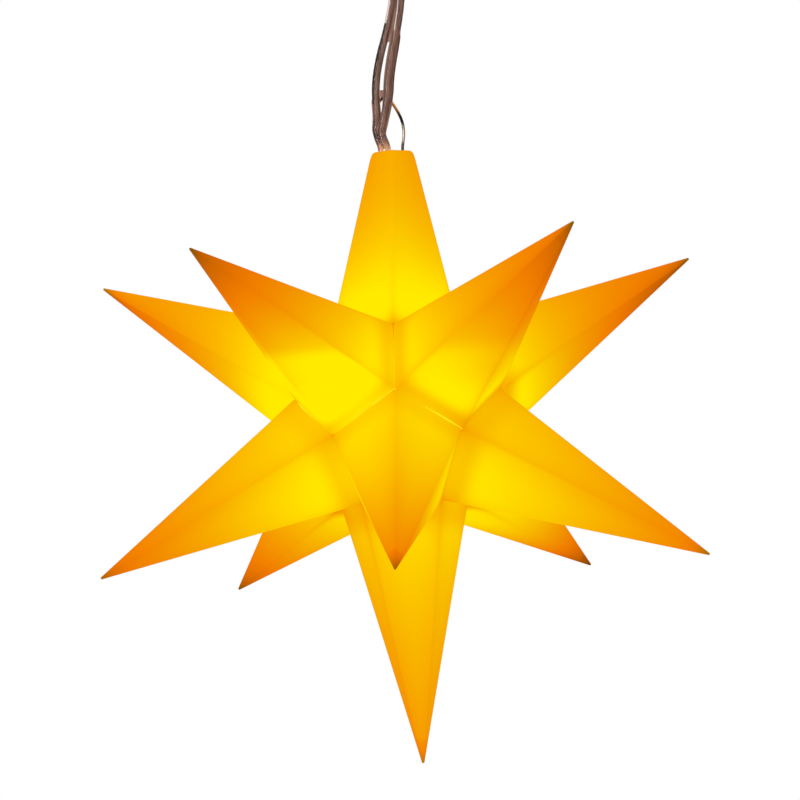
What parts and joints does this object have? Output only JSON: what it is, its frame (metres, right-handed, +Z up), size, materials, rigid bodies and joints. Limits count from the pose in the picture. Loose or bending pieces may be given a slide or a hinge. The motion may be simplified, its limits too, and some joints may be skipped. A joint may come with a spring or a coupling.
{
  "type": "lit hanging star",
  "caption": "Small translucent yellow star of hollow five-sided points, lit from inside by an LED, hanging on a clear two-core lead with a brass wire loop on its flat roof.",
  "frame": {"origin": "middle of the mating face of the plug at the upper end of the lead, from which the star hangs", "axes": "+Z up, along the plug's pins and the star's own axis; -Y is the front of the star; +X is to its right as seen from the front"},
  "size_m": [0.1109, 0.1148, 0.1801],
  "materials": {
    "star_plastic": "translucent moulded plastic, lit from inside",
    "loop_brass": "drawn wire",
    "clear_insulation": "clear soft insulation over copper strands",
    "plug_plastic": "clear moulded plastic",
    "pin_brass": "turned",
    "led_epoxy": "cast clear epoxy",
    "sleeve_plastic": "clear sleeve",
    "tinned_steel": "tinned",
    "copper": "bare strands",
    "resistor_body": "lacquered"
  },
  "bodies": {
    "hanger": {"roof_lid": "star_plastic", "lead_core_left": "clear_insulation", "lead_core_right": "clear_insulation", "lamp_wire_left": "clear_insulation", "lamp_wire_right": "clear_insulation", "plug_body": "plug_plastic", "plug_boot": "plug_plastic", "plug_pins": "pin_brass", "led_lens": "led_epoxy", "lamp_sleeve": "sleeve_plastic", "led_leads": "tinned_steel", "resistor_leads": "tinned_steel", "crimp_ferrules": "tinned_steel", "wire_conductors": "copper", "series_resistor": "resistor_body"},
    "loop": {"hanging_loop": "loop_brass"},
    "star": {"point_top": "star_plastic", "point_upper_front_right": "star_plastic", "point_upper_front_left": "star_plastic", "point_upper_right": "star_plastic", "point_upper_left": "star_plastic", "point_upper_back": "star_plastic", "point_lower_front": "star_plastic", "point_lower_right": "star_plastic", "point_lower_left": "star_plastic", "point_lower_back_right": "star_plastic", "point_lower_back_left": "star_plastic", "point_bottom": "star_plastic", "seam_rivets": "star_plastic"}
  },
  "joints": [
    {"name": "loop_lean", "type": "hinge", "parent": "hanger", "child": "loop", "pos_m": [0, 0.0007, -0.0606], "axis": [-1, 0, 0], "range_deg": [0, 30]},
    {"name": "star_draw", "type": "slide", "parent": "hanger", "child": "star", "axis": [0, 0, -1], "range_m": [0, 0.055]}
  ]
}
